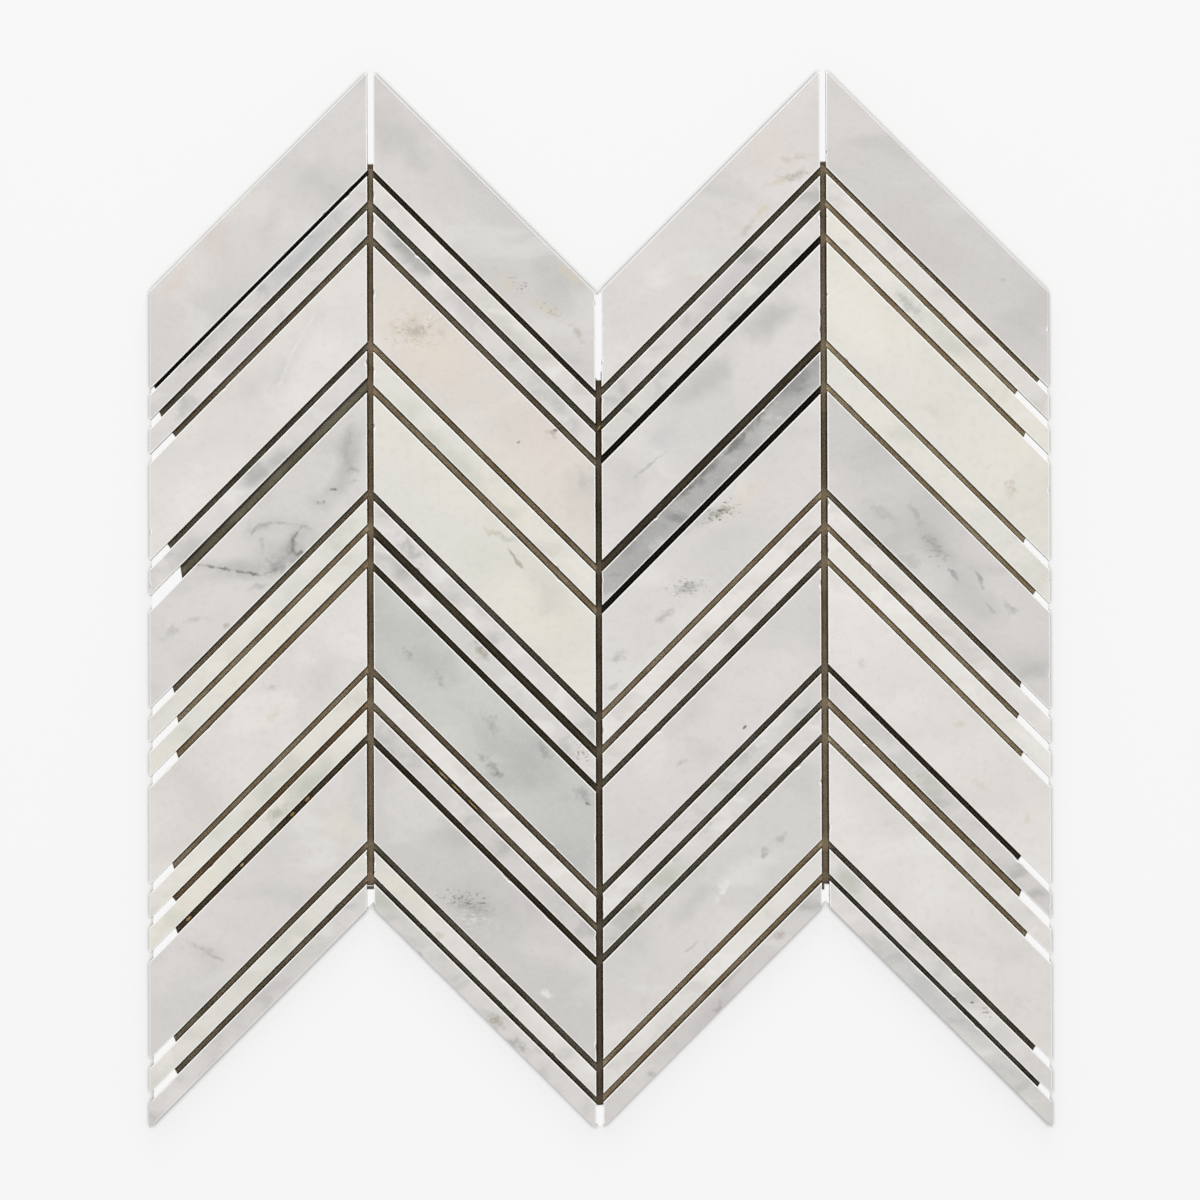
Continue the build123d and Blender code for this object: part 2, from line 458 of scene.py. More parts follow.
marks[3, 1] = [
    cloud(58, 150, 40, 28, pink, 30, 60), smudge(67, 148, 16, 3, rust, 25, 5),
    smudge(66, 142, 16, 5, brown, 50, 10), smudge(60, 140, 14, 5, beige, 70, 20),
    flecks(66, 142, 14, 4, olive, 55, 10), smudge(55, 130, 15, 5, beige, 80, 55),
    smudge(50, 124, 12, 4, olive, 35), smudge(32, 107, 10, 4, pink, 75, 10),
]
marks[3, 2] = [cloud(42, 101, 61.6, 13, lilac, 72)]
marks[3, 3] = [cloud(55, 103, 48.4, 13, moss, 43)]
marks[3, 4] = [
    cloud(57, 94, 30, 13, ash, 85, 30), cloud(36, 73, 34, 14, ash, 80, 40),
    vein(17, 45, 20, 2, grey, 48, 38), cloud(20, 55, 20, 14, blue, 36, 20),
]
marks[3, 5] = [
    cloud(66, 76, 24.2, 13, slate, 95), smudge(54, 61, 18, 4.5, slate, 95, 50),
    vein(46, 52, 18, 2.4, slate, 95), smudge(35, 43, 22, 9, slate, 95, 40),
    smudge(29, 37, 12, 4.5, dark, 59), cloud(14, 22, 22, 13, slate, 72),
    vein(44, 56, 14, 1.4, white, 60, 50),
]
marks[3, 6] = [
    smudge(40, 29, 16, 5, olive, 91, 18), flecks(40, 29, 20, 8, dark, 95, 20),
    cloud(30, 25, 24, 8, ash, 87, 30), vein(26, 33, 12, 1.8, slate, 72, 40),
    smudge(30, 4, 15, 6, grey, 80, 10), flecks(30, 4, 18, 9, slate, 70, 10),
    smudge(22, -5, 13, 4, grey, 59, 35), smudge(6, -19, 11, 5, grey, 59, 30),
    speck(5, -29, 5, 3, grey, 35, 30), cloud(50, 35, 22, 14, peach, 43),
]
marks[3, 7] = [cloud(40, 8, 55, 13, cream, 58)]
marks[3, 8] = [cloud(50, 5, 39.6, 13, moss, 72), smudge(14, -33, 20, 7.5, ash, 65)]
marks[3, 9] = [
    speck(49, -43, 2.8, 1.6, dark, 85, 50), smudge(27, -55, 6, 3, ash, 78, 30),
    cloud(30, -38, 30, 14, ash, 26),
]
marks[3, 10] = [smudge(48, -53, 22, 9, ash, 78), smudge(38, -61, 12, 7.5, moss, 78)]
marks[3, 11] = [
    cloud(22, -93, 22, 13, moss, 95), smudge(12, -104, 12, 7.5, olive, 45),
    smudge(34, -76, 16, 7.5, ash, 65),
]
marks[3, 12] = [
    smudge(55, -85, 7, 4, grey, 78, 60), smudge(61, -80, 8, 4, ash, 91, 50),
    smudge(41, -97, 13, 4, white, 78, 60), speck(35, -101, 1.6, 1.4, pink, 70, 0),
    cloud(27, -91, 26, 12, moss, 72, 30), cloud(30, -103, 22, 9, ash, 51, 50),
    vein(31, -116, 9, 1.4, ash, 72, 40),
]
marks[3, 13] = [cloud(52, -103, 37.4, 13, cream, 87)]
marks[3, 14] = [
    cloud(36, -138, 55, 13, lilac, 80), smudge(40, -136, 6, 4.5, brown, 59, 60),
    smudge(60, -112, 6, 4.5, brown, 52, 30), smudge(17, -159, 5, 4.5, grey, 65, 80),
]
marks[4, 1] = [cloud(112, 120, 60, 22, lilac, 36), speck(136, 107, 2.6, 2, ash, 60, 0)]
marks[4, 3] = [cloud(116, 88, 50, 13, moss, 35), smudge(104, 99, 18, 8, ash, 95)]
marks[4, 4] = [cloud(113, 64, 10, 5, pink, 50), smudge(138, 37, 6, 9, rust, 40, 20)]
marks[4, 6] = [
    smudge(95, 29, 18, 7, ash, 95, -30), smudge(106, 29, 12, 4, grey, 60, -60),
    smudge(104, 13, 16, 6, ash, 78, -30), cloud(114, 16, 26, 14, grey, 45, -50),
    smudge(112, 18, 16, 6, grey, 70, -50), flecks(113, 17, 18, 8, slate, 60, -50),
    vein(119, 8, 8, 2.5, slate, 80), vein(127, 7, 10, 2.2, slate, 70, -60),
    vein(131, -3, 8, 2, grey, 70, -40), cloud(124, 2, 34, 20, ash, 60), smudge(138, -3, 10, 4, grey, 59),
    cloud(146, -24, 10, 16, ash, 80, -60),
]
marks[4, 9] = [
    smudge(88, -22, 8, 4, brown, 30), smudge(120, -42, 6, 4, beige, 60, -30),
    smudge(126, -62, 9, 4, beige, 60, -20), smudge(143, -74, 8, 6, beige, 50),
]
marks[4, 10] = [smudge(111, -62, 22, 7.5, moss, 95)]
marks[4, 12] = [cloud(110, -92, 40, 26, white, 29, 90)]
marks[4, 13] = [
    cloud(84, -94, 17.6, 13, moss, 95), speck(124, -135, 1.6, 1.2, dark, 90, 0),
    flecks(129, -139, 9, 5, rust, 72),
]
marks[4, 14] = [cloud(112, -132, 66, 13, blue, 58)]

# The resin: its colour where it is thick and where it is thin, and the height of its top
Resin = namedtuple("Resin", "thick thin top")
resins = {
    "brown": Resin((182, 165, 137), (206, 190, 163), 2.3),
    "olive": Resin((143, 136, 115), (168, 161, 140), 2.2),
    "dark": Resin((102, 89, 68), (124, 110, 88), 2.2),
    "black": Resin((34, 28, 19), (48, 41, 31), 2.2),
    "tan": Resin((207, 185, 147), (230, 211, 177), 2.7),
    "amber": Resin((212, 190, 152), (236, 217, 184), 3.4),
    "gold": Resin((216, 194, 154), (238, 219, 184), 4.5),
    "umber": Resin((188, 155, 114), (210, 180, 140), 2.2),
    "walnut": Resin((150, 132, 104), (176, 158, 130), 2.2),
    "film": Resin((150, 119, 86), (176, 146, 112), 0.6),
    "honey": Resin((206, 170, 112), (240, 216, 170), 9.0),
}
# The joints of each resin, by column, as the rows above them. All others are brown.
resin_joints = {
    "olive": {1: [2, 4, 5], 2: [2, 6, 12, 13], 3: [1, 2, 8, 9, 10, 11], 4: [12, 13]},
    "dark": {2: [1, 7, 8, 11], 3: [4], 4: [9]},
    "black": {1: [1], 3: [3, 5]},
    "tan": {1: [8], 2: [4, 5], 4: [10]},
    "amber": {1: [7, 9], 3: [6, 12, 13], 4: [1, 7, 11]},
    "gold": {4: [2, 3, 4, 5, 8]},
    "umber": {1: [10]},
    "walnut": {1: [11]},
}
seam_resins = ["walnut", "dark", "walnut"]
# Drops of resin that stand higher in the joints: the column, the row above the joint, the place along X,
# how long the drop is along the joint, and how wide
drops = [
    (1, 11, -98.0, 2.6, 1.3), (1, 11, -103.0, 2.2, 1.2), (1, 11, -120.0, 2.0, 1.1),
    (1, 11, -138.0, 2.8, 1.3), (2, 10, -57.0, 4.5, 0.6), (2, 10, -52.5, 5.5, 0.8),
    (2, 10, -48.0, 5.0, 0.6), (2, 10, -42.5, 6.0, 0.7),
]
# One thin string of resin across the middle seam: its middle, length, width and turn
seam_string = (0.25, 57.8, 2.4, 0.5, 58.0)


def group_of(groups, column, row, other):
    """The name of the group that a bar or joint belongs to."""
    for name, members in groups.items():
        if row in members.get(column, ()):
            return name
    return other


# The stone's patterns, in a wide bar and in a narrower one: the sizes of the drift and of the clouds, and
# how strong the palest places and the clouds are
Pattern = namedtuple("Pattern", "drift clouds light shade")
wide_pattern = Pattern(48.0, 20.0, 0.60, 0.70)
narrow_pattern = Pattern(30.0, 10.0, 0.90, 1.60)
# Heights between which the stone turns from polished to sawn, from its top to its white arris (partly a
# painted highlight), and, for an even edge of the stain, from clean to stained by the resin
sawn_heights = (9.62, 9.30)
arris_heights = (9.998, 9.965)
stain_heights = (1.3, -0.9)
# How much of the arris's white and painted highlight shows along the zigzag edges and the sheet's sides
zigzag_arris = 0.1
side_arris = 0.55


def marble(node, column, row):
    """The stone of one bar: cloudy body, marks, pale eased edges that are partly a painted highlight, and
    sawn, glue-stained sides.
    """
    name = f"{node}_marble"
    bar = (column, row)
    tone = tones[group_of(tone_bars, column, row, "pale")]
    pattern = wide_pattern if "wide" in node else narrow_pattern
    chance = Random(name)
    shader = Shader(name)
    place = shader.place()
    away = tuple(chance.uniform(-900, 900) for axis in range(3))
    stone = shader.vector("ADD", place, away)
    bedding = shader.mapped(stone, (0.6, 1.0, 1.0), chance.uniform(20, 160))

    drift = shader.noise(stone, pattern.drift, detail=1.0)
    shader.colour = shader.mix(shader.span(drift, 0.38, 0.62), tone.body, tone.drift)
    clouds = shader.noise(bedding, pattern.clouds, detail=3.0, roughness=0.48, distortion=0.5)
    light = shader.span(clouds, 0.47, 0.30, 0.0, pattern.light)
    shader.lay(light, tone.light)
    shade = shader.span(clouds, 0.51, 0.72, 0.0, tone.cover * pattern.shade)
    shader.lay(shade, tone.cloud)
    if bar in marks:
        add_marks(shader, place, marks[bar], 45 * slope_of(column))
    if bar in lines:
        add_lines(shader, place, lines[bar])

    mottle = shader.noise(stone, 2.4, detail=2.0, roughness=0.6)
    shader.lay(shader.span(mottle, 0.45, 0.75, 0.0, 0.10), grey)
    crystal = shader.noise(stone, 0.8, detail=1.0)
    shader.lay(shader.span(crystal, 0.50, 0.75, 0.0, 0.10), white)

    height = shader.axes(place)["Z"]
    sawn = shader.span(height, *sawn_heights)
    # The arris is laid near white: partly the paler ground stone of an eased edge, and partly a painted
    # highlight for the light the edge catches. It is weaker along the sheet's outer edges
    arris = shader.math("MINIMUM", shader.span(height, *arris_heights), shader.span(sawn, 1.0, 0.0))
    if row in (1, row_count) or column in (1, column_count):
        outer_arris = zigzag_arris if row in (1, row_count) else side_arris
        share = shader.span(within_outline(shader), 0.0, 1.0, outer_arris, 1.0)
        arris = shader.math("MULTIPLY", arris, share)
    shader.lay(arris, arris_pale_and_highlight)
    dust = shader.noise(stone, 3.5, detail=2.0)
    powder = shader.mix(dust, powder_pale, powder_dark)
    shader.lay(shader.math("MULTIPLY", sawn, 0.75), powder)
    creep = shader.math("MULTIPLY_ADD", dust, -3.0, height)
    stain = shader.span(creep, *stain_heights, 0.0, 0.70)
    shader.lay(stain, wall_stain)

    polish = shader.span(mottle, 0.3, 0.7, 0.24, 0.34)
    rough = shader.math("ADD", polish, shader.span(sawn, 0.0, 1.0, 0.0, 0.36))
    strokes = shader.vector("MULTIPLY", stone, (0.25, 0.25, 3.0))
    saw = shader.math("MULTIPLY", shader.noise(strokes, 1.1, detail=1.0), sawn)
    return shader.finish(rough, saw, 0.12, 0.8)


def slope_of(column):
    """1 where a column's bars rise to the right, in the first and third, and -1 where they fall."""
    return 1 if column % 2 else -1


def outline(column, row):
    """A bar's four corners seen from above, anticlockwise from its lower left, in millimetres."""
    low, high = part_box(bar_node(column, row))
    low, high = low / MM, high / MM
    width = high.x - low.x
    thick = high.y - low.y - width
    rising = slope_of(column) > 0
    left = low.y if rising else low.y + width
    right = low.y + width if rising else low.y
    corners = [(low.x, left), (high.x, right), (high.x, right + thick), (low.x, left + thick)]
    return [Vector(corner) for corner in corners]


def in_pairs(items):
    """Each item of a closed row with the one after it."""
    return zip(items, [*items[1:], items[0]])


def inward(start, end):
    """The unit vector to the left of the way from start to end, into an anticlockwise outline."""
    way = (end - start).normalized()
    return Vector((-way.y, way.x))


def inset(corners, distance):
    """The outline moved inwards by a distance, square to each side."""
    moved = []
    for number, corner in enumerate(corners):
        before = inward(corners[number - 1], corner)
        after = inward(corner, corners[(number + 1) % len(corners)])
        moved.append(corner + (before + after) * (distance / (1 + before.dot(after))))
    return moved


def blunted(corners, cuts):
    """The outline with its sharp corners cut off a little, as they break in handling."""
    result = []
    for number, corner in enumerate(corners):
        back = (corners[number - 1] - corner).normalized()
        ahead = (corners[(number + 1) % len(corners)] - corner).normalized()
        sharp = back.dot(ahead) >= 0
        result += [corner + back * cuts[number], corner + ahead * cuts[number]] if sharp else [corner]
    return result


def wobble(x, y, size, seed=0.0):
    """Smooth noise from -1 to 1."""
    return noise.noise(Vector((x / size, y / size, seed)))


def draw_chips(sides, chance):
    """A bar's chips: the side, and then what chip_spans names."""
    chips = []
    for count in range(chance.randint(*chips_per_bar)):
        side = chance.randrange(sides)
        chips.append((side, *(chance.uniform(*span) for span in chip_spans)))
    return chips


def chip_depth(chips, side, share, length, rough):
    """How deep the polished edge is chipped or worn at a share of the way along a side."""
    depth = 0.0
    for chip_side, chip_share, half, deepest in chips:
        if chip_side == side:
            away = abs(share - chip_share) * length / half
            depth = max(depth, deepest * (1 - away * away))
    worn = max(0.0, rough - 0.35) * 0.35
    return max(depth * (1 + 0.5 * rough), worn)


class Loft:
    """Collects bodies made of closed sections, one after another along a line."""

    def __init__(self):
        self.points = []
        self.faces = []

    def add(self, sections):
        start = len(self.points)
        count = len(sections[0])
        for section in sections:
            self.points.extend(point * MM for point in section)
        for level in range(len(sections) - 1):
            near, far = start + level * count, start + (level + 1) * count
            for number, after in in_pairs(range(count)):
                self.faces.append((near + number, near + after, far + after, far + number))
        self.faces.append(tuple(start + number for number in reversed(range(count))))
        last = start + (len(sections) - 1) * count
        self.faces.append(tuple(last + number for number in range(count)))


def make_bar(column, row):
    """One bar as a mesh: polished face, rounded arris, slightly wavy sawn walls and a worn lower edge."""
    node = bar_node(column, row)
    chance = Random(node)
    low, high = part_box(node)
    bottom, top = low.z / MM, high.z / MM
    sharp = outline(column, row)
    cuts = [chance.uniform(*blunt_corner) for corner in sharp]
    corners = blunted(sharp, cuts)
    seed = chance.uniform(0, 1000)
    chips = draw_chips(len(corners), chance)
    lengths = [(end - start).length for start, end in in_pairs(corners)]
    steps = [max(1, round(length / edge_spacing)) for length in lengths]

    def ring(distance, height, wave_share, chip_share, drop_share):
        """One closed row of points round the bar, inset and lowered where the edge is chipped."""
        base = blunted(inset(sharp, distance), cuts)
        points = []
        for side, (start, end) in enumerate(in_pairs(base)):
            into = inward(start, end)
            length = (end - start).length
            for step in range(steps[side]):
                share = step / steps[side]
                point = start.lerp(end, share)
                taper = min(1.0, share * length, (1 - share) * length)
                rough = wobble(point.x * 1.7, point.y * 1.7, 1.0, seed)
                chip = chip_depth(chips, side, share, length, rough) * taper
                wave = wall_waviness * (0.5 + 0.5 * wobble(*point, 9.0, seed))
                loss = wave * wave_share * taper + chip * chip_share
                place = point + into * loss
                points.append(Vector((place.x, place.y, height - chip * drop_share)))
        return points

    edge = eased_edge
    stone = Loft()
    stone.add([
        ring(0.15, bottom, 1.0, 0.8, 0.0),
        ring(0.0, bottom + 0.5, 1.0, 0.0, 0.0),
        ring(0.0, top - edge - 1.2, 1.0, 0.0, 0.0),
        ring(0.0, top - edge, 1.0, 0.45, 0.9),
        ring(edge * 0.45, top - edge * 0.22, 0.3, 0.9, 0.35),
        ring(edge, top, 0.0, 1.0, 0.0),
    ])
    piece = add_piece(f"{node}_stone", stone, marble(node, column, row))
    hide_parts(node)


def add_object(name, data):
    made = bpy.data.objects.new(name, data)
    bpy.context.scene.collection.objects.link(made)
    return made


def add_mesh(name, points, faces, material):
    mesh = bpy.data.meshes.new(name)
    mesh.from_pydata([tuple(point) for point in points], [], faces)
    mesh.materials.append(material)
    mesh.validate()
    mesh.update()
    return add_object(name, mesh)


def add_piece(name, loft, material, smooth=False):
    """A mesh object in the object's one body."""
    piece = add_mesh(name, loft.points, loft.faces, material)
    if smooth:
        piece.data.shade_smooth()
    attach(piece, "root")
    return piece


def bar_node(column, row):
    """The name of the bar at a column and row."""
    start = f"column_{column}_row_{row:02d}_"
    return next(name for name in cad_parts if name.startswith(start))


def side_edges():
    """The places along X of the sheet's left and right edge, at its top row."""
    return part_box(bar_node(1, 1))[0].x / MM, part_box(bar_node(column_count, 1))[1].x / MM


def adhesive(name, resin):
    """The resin that holds the bars: glossy and uneven, and darker where it climbs the stone, as painted
    shade along the joint walls.
    """
    shader = Shader(name)
    place = shader.place()
    body = shader.noise(place, 14.0, detail=2.0)
    shader.colour = shader.mix(shader.span(body, 0.38, 0.62), resin.thick, resin.thin)
    fine = shader.noise(place, 2.2, detail=1.0)
    shader.lay(shader.span(fine, 0.50, 0.30, 0.0, 0.16), resin_soot)
    # Painted shade: the resin turns near black where it climbs the stone, for the shade along the joint walls
    wall = resin.top + 0.36
    climb = shader.span(shader.axes(place)["Z"], wall, wall + 0.35, 0.0, 0.92)
    shader.lay(climb, resin_wall_shade)
    return shader.finish(shader.span(fine, 0.3, 0.7, 0.36, 0.60), fine, 0.12, 0.35)


def glass_yarn():
    """The mesh's threads: off-white glass yarn, soaked with resin in places."""
    shader = Shader("backing_yarn")
    place = shader.place()
    soaked = shader.noise(place, 16.0, detail=4.0)
    shader.colour = shader.mix(shader.span(soaked, 0.42, 0.60), yarn_clean, yarn_soaked)
    fibre = shader.noise(place, 0.35, detail=3.0)
    shader.lay(shader.span(fibre, 0.45, 0.70, 0.0, 0.35), yarn_fibre)
    return shader.finish(shader.span(soaked, 0.40, 0.62, 0.70, 0.42), fibre, 0.06, 0.7)


def joint_section(near, far, bed, near_lift=1.0, far_lift=1.0):
    """The resin across a joint: a low lumpy bed that climbs a little at a wall, where there is one."""
    points = [Vector((near.x, near.y, bed_foot))]
    for share, climb in bed_profile:
        place = near.lerp(far, share)
        lift = near_lift if share < 0.5 else far_lift
        lump = 0.5 + 0.5 * wobble(place.x, place.y, 1.6, 3.0)
        swell = 0.5 + 0.5 * wobble(place.x, place.y, 7.0, 9.0)
        height = bed + lift * climb * (0.7 + 0.6 * swell) + 0.10 * lump
        points.append(Vector((place.x, place.y, height)))
    points.append(Vector((far.x, far.y, bed_foot)))
    return points


def add_row_joint(loft, column, row, bed):
    """The resin in the joint below a row, from the sheet's side or a seam to the next seam."""
    upper_start, upper_end = outline(column, row)[:2]
    lower_start = outline(column, row + 1)[3]
    first, last = upper_start.x - bed_overlap, upper_end.x + bed_overlap
    if column == 1:
        first = upper_start.x + left_film_ends[row - 1]
    if column == column_count:
        last = upper_end.x - right_film_ends[row - 1]
    slope = slope_of(column)
    slant = end_slant * (0.55 + 0.45 * wobble(row, column, 0.7, 4.0))
    count = round((last - first) / bed_step)
    sections = []
    for number in range(count + 1):
        x = first + (last - first) * number / count
        lean = end_ragged * wobble(x, row * 7.0, 0.8) if number in (0, count) else 0.0
        if column == 1:
            lean += slant * max(0.0, 1 - (x - first) / end_slant_reach)
        if column == column_count:
            lean -= slant * max(0.0, 1 - (last - x) / end_slant_reach)
        near = Vector((x + lean, lower_start.y + slope * (x + lean - lower_start.x)))
        far = Vector((x, upper_start.y + slope * (x - upper_start.x)))
        sections.append(joint_section(near, far, bed))
    loft.add(sections)


def joint_middle(column, row, x):
    """The place on the middle line of the joint below a row, at a place along X."""
    above = outline(column, row)[0]
    below = outline(column, row + 1)[3]
    return Vector((x, (above.y + below.y + slope_of(column) * (2 * x - above.x - below.x)) / 2))


def seam_mouths(column, on_right):
    """Where the row joints of a column open into the seam on one of its sides, as spans along Y."""
    mouths = []
    for row in rows[:-1]:
        above, below = outline(column, row), outline(column, row + 1)
        mouths.append((below[2].y, above[1].y) if on_right else (below[3].y, above[0].y))
    return mouths


def wall_share(mouths, y):
    """From 0 in the mouth of a row joint to 1 where the seam has a wall again."""
    away = min(max(low - y, y - high, 0.0) for low, high in mouths)
    return min(1.0, away / mouth_edge)


def add_seam(loft, column, bed):
    """The resin in the seam on a column's right, between its outermost row joints."""
    left_top = outline(column, 1)[1]
    left_bottom = outline(column, row_count)[2]
    right_top = outline(column + 1, 1)[0]
    right_bottom = outline(column + 1, row_count)[3]
    top = max(left_top.y, right_top.y) + seam_top_reach[column - 1]
    bottom = min(left_bottom.y, right_bottom.y) - seam_bottom_reach
    mouths = seam_mouths(column, True), seam_mouths(column + 1, False)
    count = round((top - bottom) / seam_step)
    sections = []
    for number in range(count + 1):
        share = number / count
        y = bottom + (top - bottom) * share
        near = Vector((left_bottom.lerp(left_top, share).x, y))
        far = Vector((right_bottom.lerp(right_top, share).x, y))
        sections.append(joint_section(near, far, bed, *(wall_share(spans, y) for spans in mouths)))
    loft.add(sections)


def backing_loop():
    """The outline of the CAD backing seen from below, in millimetres, read from its own node."""
    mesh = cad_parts["mesh_backing"].data
    seen = set()
    for face in mesh.polygons:
        if face.normal.z < -0.9:
            places = [mesh.vertices[index].co for index in face.vertices]
            ring = [(round(place.x / MM, 3), round(place.y / MM, 3)) for place in places]
            seen.update(in_pairs(ring))
    border = {start: end for start, end in seen if (end, start) not in seen}
    loop = [min(border)]
    while border[loop[-1]] != loop[0]:
        loop.append(border[loop[-1]])
    return loop


def contains(loop, x, y):
    """Whether a point lies inside an outline."""
    inside = False
    for (start_x, start_y), (end_x, end_y) in in_pairs(loop):
        if (start_y > y) != (end_y > y):
            cross = start_x + (y - start_y) / (end_y - start_y) * (end_x - start_x)
            inside ^= x < cross
    return inside


def end_at(ends, heights, y):
    """How far the adhesive stays behind the sheet's edge at a height, from its ends in the row joints."""
    for number in range(1, len(heights)):
        if heights[number] <= y < heights[number - 1]:
            share = (heights[number - 1] - y) / (heights[number - 1] - heights[number])
            return ends[number - 1] + share * (ends[number] - ends[number - 1])
    return ends[0] if y >= heights[0] else ends[-1]


class Film:
    """Where the adhesive film reaches, with torn edges."""

    def __init__(self):
        self.loop = backing_loop()
        self.low_x = min(x for x, y in self.loop)
        self.high_x = max(x for x, y in self.loop)
        self.low_y = min(y for x, y in self.loop)
        self.high_y = max(y for x, y in self.loop)
        left, right = side_edges()
        left_heights = [outline(1, row)[3].y for row in rows[1:]]
        right_heights = [outline(column_count, row)[2].y for row in rows[1:]]
        # For each side: the way inwards, where the CAD backing ends and how far that is behind the sheet's
        # edge, and how far behind it and at which heights the row joints' resin ends
        self.sides = [
            (1, self.low_x, self.low_x - left, left_film_ends, left_heights),
            (-1, self.high_x, right - self.high_x, right_film_ends, right_heights),
        ]

    def holds(self, x, y):
        """Whether the film covers a place. Near a side, the place is moved along the zigzag edges, so that
        only how far it lies from the side changes."""
        move_x = film_tear * wobble(x, y, 3.0, 5.0)
        move_y = film_tear * wobble(x, y, 3.0, 8.0)
        for way, edge, edge_inset, ends, heights in self.sides:
            if way * (x - edge) < side_band:
                short = film_margin + max(0.0, end_at(ends, heights, y) - edge_inset)
                move_x -= way * short
                move_y -= short
        return contains(self.loop, x + move_x, y + move_y)


def make_film(film, material):
    """The thin uneven sheet of resin under the bars."""
    across = range(int((film.high_x - film.low_x) / film_cell) + 1)
    along = range(int((film.high_y - film.low_y) / film_cell) + 1)
    cells = set()
    for i, j in product(across, along):
        if film.holds(film.low_x + (i + 0.5) * film_cell, film.low_y + (j + 0.5) * film_cell):
            cells.add((i, j))
    sheet = Loft()
    index = {}

    def corner(i, j, upper):
        key = (i, j, upper)
        if key not in index:
            x = film.low_x + i * film_cell
            y = film.low_y + j * film_cell
            height = film_top if upper else film_bottom - 0.16 * abs(wobble(x, y, 3.5, 4.0))
            shift = 0.28 * film_cell
            place = (x + shift * wobble(x, y, 2.3, 1.0), y + shift * wobble(x, y, 2.3, 2.0), height)
            index[key] = len(sheet.points)
            sheet.points.append(Vector(place) * MM)
        return index[key]

    for i, j in sorted(cells):
        square = ((i, j), (i + 1, j), (i + 1, j + 1), (i, j + 1))
        sheet.faces.append(tuple(corner(*spot, True) for spot in square))
        sheet.faces.append(tuple(corner(*spot, False) for spot in reversed(square)))
        beside = ((i, j - 1), (i + 1, j), (i, j + 1), (i - 1, j))
        for cell, (start, end) in zip(beside, in_pairs(square)):
            if cell not in cells:
                low = corner(*start, False), corner(*end, False)
                sheet.faces.append((*low, corner(*end, True), corner(*start, True)))

    piece = add_piece("backing_resin", sheet, material)
    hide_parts("mesh_backing")


def make_beds():
    """The resin that stands in the joints and seams, one piece for each colour of it."""
    beds = {name: Loft() for name in ("brown", *resin_joints)}
    for column, name in enumerate(seam_resins, start=1):
        add_seam(beds[name], column, resins[name].top)
    for column, row in product(columns, rows[:-1]):
        name = group_of(resin_joints, column, row, "brown")
        add_row_joint(beds[name], column, row, resins[name].top)
    for name, loft in beds.items():
        material = adhesive(f"joint_adhesive_{name}", resins[name])
        piece = add_piece(f"joint_resin_{name}", loft, material, smooth=True)


def add_drop(loft, middle, long, wide, turn):
    """One long drop of resin that stands up from the bed."""
    way = Vector((math.cos(math.radians(turn)), math.sin(math.radians(turn))))
    side = Vector((-way.y, way.x))
    sections = []
    for share, height in drop_profile:
        section = []
        for step in range(drop_sides):
            angle = math.tau * step / drop_sides
            spread = Vector((math.cos(angle), math.sin(angle)))
            near = middle + 3 * spread
            reach = share * (1 + 0.15 * wobble(near.x, near.y, 1.5, 7.0))
            spot = middle + way * (spread.x * long / 2 * reach) + side * (spread.y * wide / 2 * reach)
            section.append(Vector((spot.x, spot.y, height)))
        sections.append(section)
    loft.add(sections)


def make_drops():
    """The drops and the string of lighter resin, squeezed up into the joints."""
    loft = Loft()
    for column, row, x, long, wide in drops:
        add_drop(loft, joint_middle(column, row, x), long, wide, 45 * slope_of(column))
    x, y, long, wide, turn = seam_string
    add_drop(loft, Vector((x, y)), long, wide, turn)
    material = adhesive("resin_drops", resins["honey"])
    piece = add_piece("resin_drops", loft, material, smooth=True)


def thread_section(x, y, z, along_x):
    """The flat lens shape across a thread."""
    half = thread_half_width * (1 + 0.18 * wobble(x, y, 2.0, 6.0))
    thick = thread_half_thickness
    section = []
    for aside, up in ((-half, 0.0), (0.0, thick), (half, 0.0), (0.0, -thick)):
        section.append(Vector((x, y + aside, z + up) if along_x else (x - aside, y, z + up)))
    return section


def make_threads(film, name, along_x, material):
    """One of the mesh's two sets of threads, over and under the other."""
    loft = Loft()
    low, high = (film.low_y, film.high_y) if along_x else (film.low_x, film.high_x)
    start, end = (film.low_x, film.high_x) if along_x else (film.low_y, film.high_y)
    for line in range(1, int((high - low) / thread_pitch)):
        fixed = low + line * thread_pitch
        places = []
        for number in range(int((end - start) / thread_pitch) + 2):
            way = start + (number - 0.5) * thread_pitch
            stray = thread_stray * wobble(way, fixed, 30.0, 11.0 if along_x else 12.0)
            x, y = (way, fixed + stray) if along_x else (fixed + stray, way)
            side = 1 if (number + line + along_x) % 2 else -1
            places.append((x, y, thread_height + side * thread_wave))
        for is_held, run in groupby(places, lambda place: film.holds(*place[:2])):
            sections = [thread_section(*place, along_x) for place in run]
            if is_held and len(sections) > 1:
                loft.add(sections)
    piece = add_piece(name, loft, material, smooth=True)
    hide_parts("mesh_backing")


def within_outline(shader):
    """1 within the sheet's zigzag outline, as it is seen from above, and 0 outside."""
    place = shader.axes(shader.place())
    peaks = [(outline(column, 1)[2].x + outline(column + 1, 1)[3].x) / 2 for column in (1, 3)]
    summit = outline(1, 1)[2]
    top = summit.y + peaks[0] - summit.x
    depths = []
    for column in columns:
        for foot in outline(column, row_count)[:2]:
            depths.append(top - min(abs(foot.x - peak) for peak in peaks) - foot.y)
    nearest = shader.math("MINIMUM", *(
        shader.math("ABSOLUTE", shader.math("SUBTRACT", place["X"], peak)) for peak in peaks
    ))
    depth = shader.math("SUBTRACT", shader.math("SUBTRACT", top, nearest), place["Y"])
    inside = shader.math("MINIMUM", depth, shader.math("SUBTRACT", min(depths), depth))
    left, right = side_edges()
    for away in (shader.math("SUBTRACT", place["X"], left), shader.math("SUBTRACT", right, place["X"])):
        inside = shader.math("MINIMUM", inside, away)
    return shader.span(inside, 0.0, outline_blur)


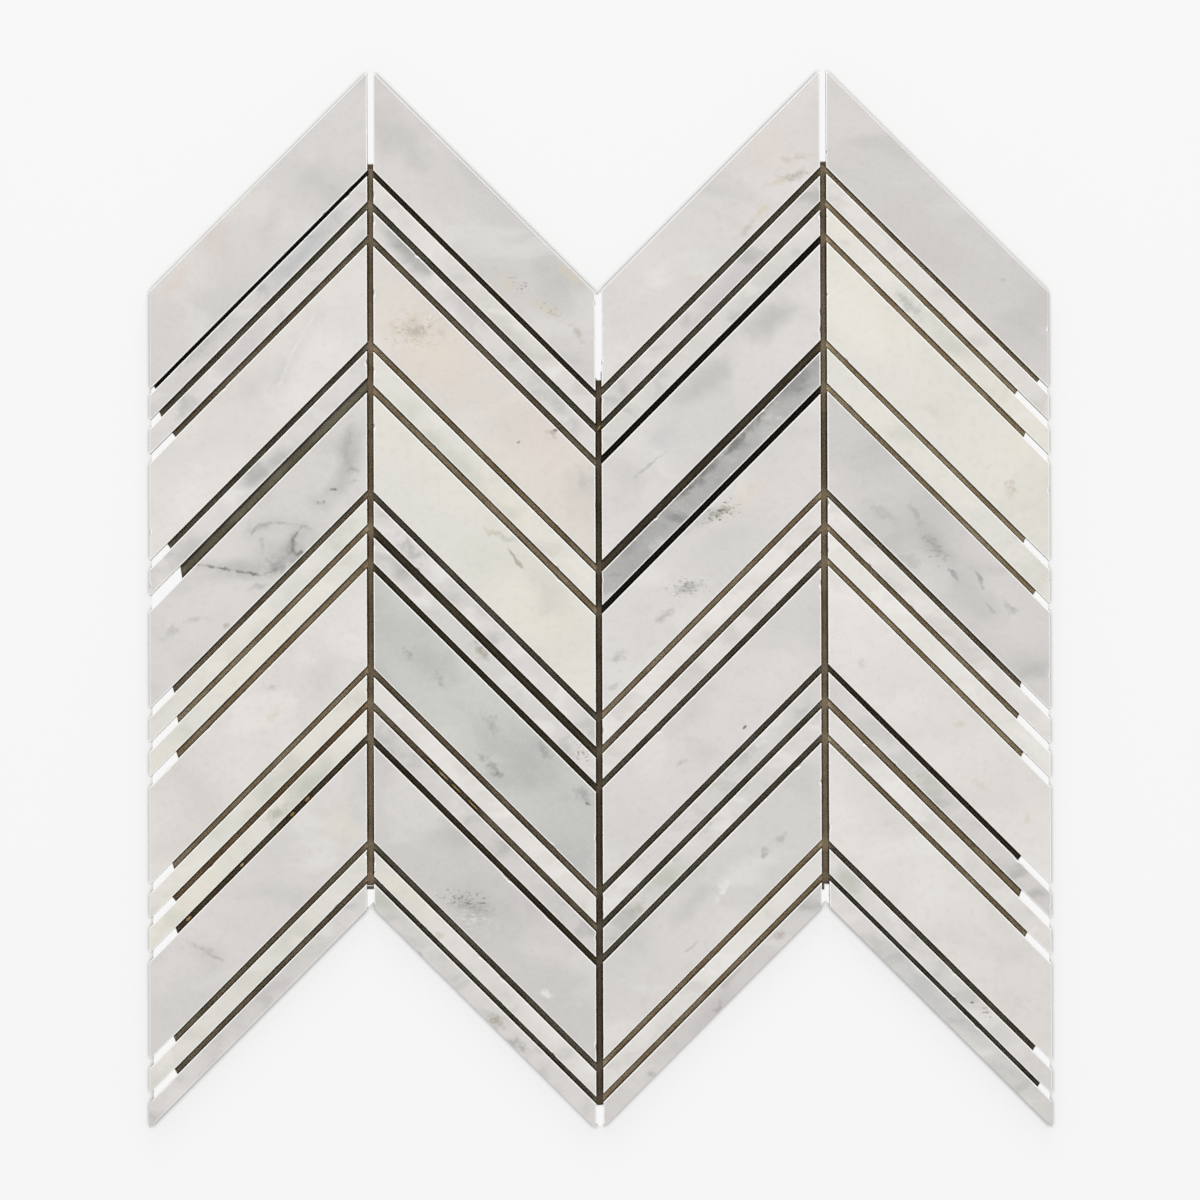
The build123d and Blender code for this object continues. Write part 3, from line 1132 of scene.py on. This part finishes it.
def make_floor():
    """A pale floor that shows almost white, with a painted soft shadow along the sheet and a small share of
    its real shadow; in the open joints it is painted white where it lies in shade.
    """
    shader = Shader("floor_paper")
    tree = shader.tree
    shade = srgb(*floor_white)
    lit = shader.node("ShaderNodeBsdfDiffuse", {"Color": shade}).outputs["BSDF"]
    # Within the sheet's outline the floor glows fully white for the camera: painted light in the open joints,
    # where the floor lies in shade
    joints = within_outline(shader)
    reach = shader.span(joints, 0.0, 1.0, contact_reach * MM, joint_contact_reach * MM)
    # Painted contact shadow: ambient occlusion darkens the glow next to the sheet and along the walls of the
    # open joints
    near = shader.node("ShaderNodeAmbientOcclusion", {"Distance": reach}, samples=8)
    painted_contact_shadow = shader.span(near.outputs["AO"], *contact_span, contact_dark, 1.0)
    glow = shader.node("ShaderNodeEmission", {"Color": shade, "Strength": painted_contact_shadow}).outputs["Emission"]
    path = shader.node("ShaderNodeLightPath").outputs
    seen = shader.math("MAXIMUM", path["Is Camera Ray"], path["Is Glossy Ray"])
    share = shader.math("MULTIPLY", seen, shader.span(joints, 0.0, 1.0, 1 - floor_shadow_share, 1.0))
    both = shader.node("ShaderNodeMixShader", {0: share, 1: lit, 2: glow}).outputs["Shader"]
    tree.links.new(both, tree.nodes["Material Output"].inputs["Surface"])
    half = floor_size / 2 * MM
    corners = [(-half, -half, 0), (half, -half, 0), (half, half, 0), (-half, half, 0)]
    floor = add_mesh("floor", corners, [(0, 1, 2, 3)], shader.material)


def make_light():
    """An even pale sky, and a large soft lamp beyond the sheet's top edge."""
    world = bpy.data.worlds.new("studio")
    world.use_nodes = True
    sky = world.node_tree.nodes["Background"]
    sky.inputs["Color"].default_value = (1.0, 1.0, 1.0, 1.0)
    sky.inputs["Strength"].default_value = sky_strength
    bpy.context.scene.world = world
    light = bpy.data.lights.new("soft_lamp", "AREA")
    light.size = lamp_size * MM
    light.energy = lamp_power
    lamp = add_object("soft_lamp", light)
    lamp.location = Vector(lamp_place) * MM
    lamp.rotation_euler = lamp.location.to_track_quat("Z", "Y").to_euler()


def make_camera():
    """Looks straight down, turned so that the sheet lies as it does in the picture."""
    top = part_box(bar_node(1, 1))[1].z / MM
    camera = add_object("camera", bpy.data.cameras.new("camera"))
    camera.data.sensor_width = sensor_width
    camera.data.lens = sensor_width * camera_height / picture_width
    camera.location = Vector((*picture_middle, top + camera_height)) * MM
    camera.rotation_euler = (0.0, 0.0, -picture_turn)
    bpy.context.scene.camera = camera


make_camera()
make_floor()
make_light()
for column, row in product(columns, rows):
    make_bar(column, row)
film = Film()
make_film(film, adhesive("backing_adhesive", resins["film"]))
make_beds()
make_drops()
yarn = glass_yarn()
make_threads(film, "backing_threads_across", True, yarn)
make_threads(film, "backing_threads_along", False, yarn)

bpy.context.scene.view_settings.view_transform = "Standard"
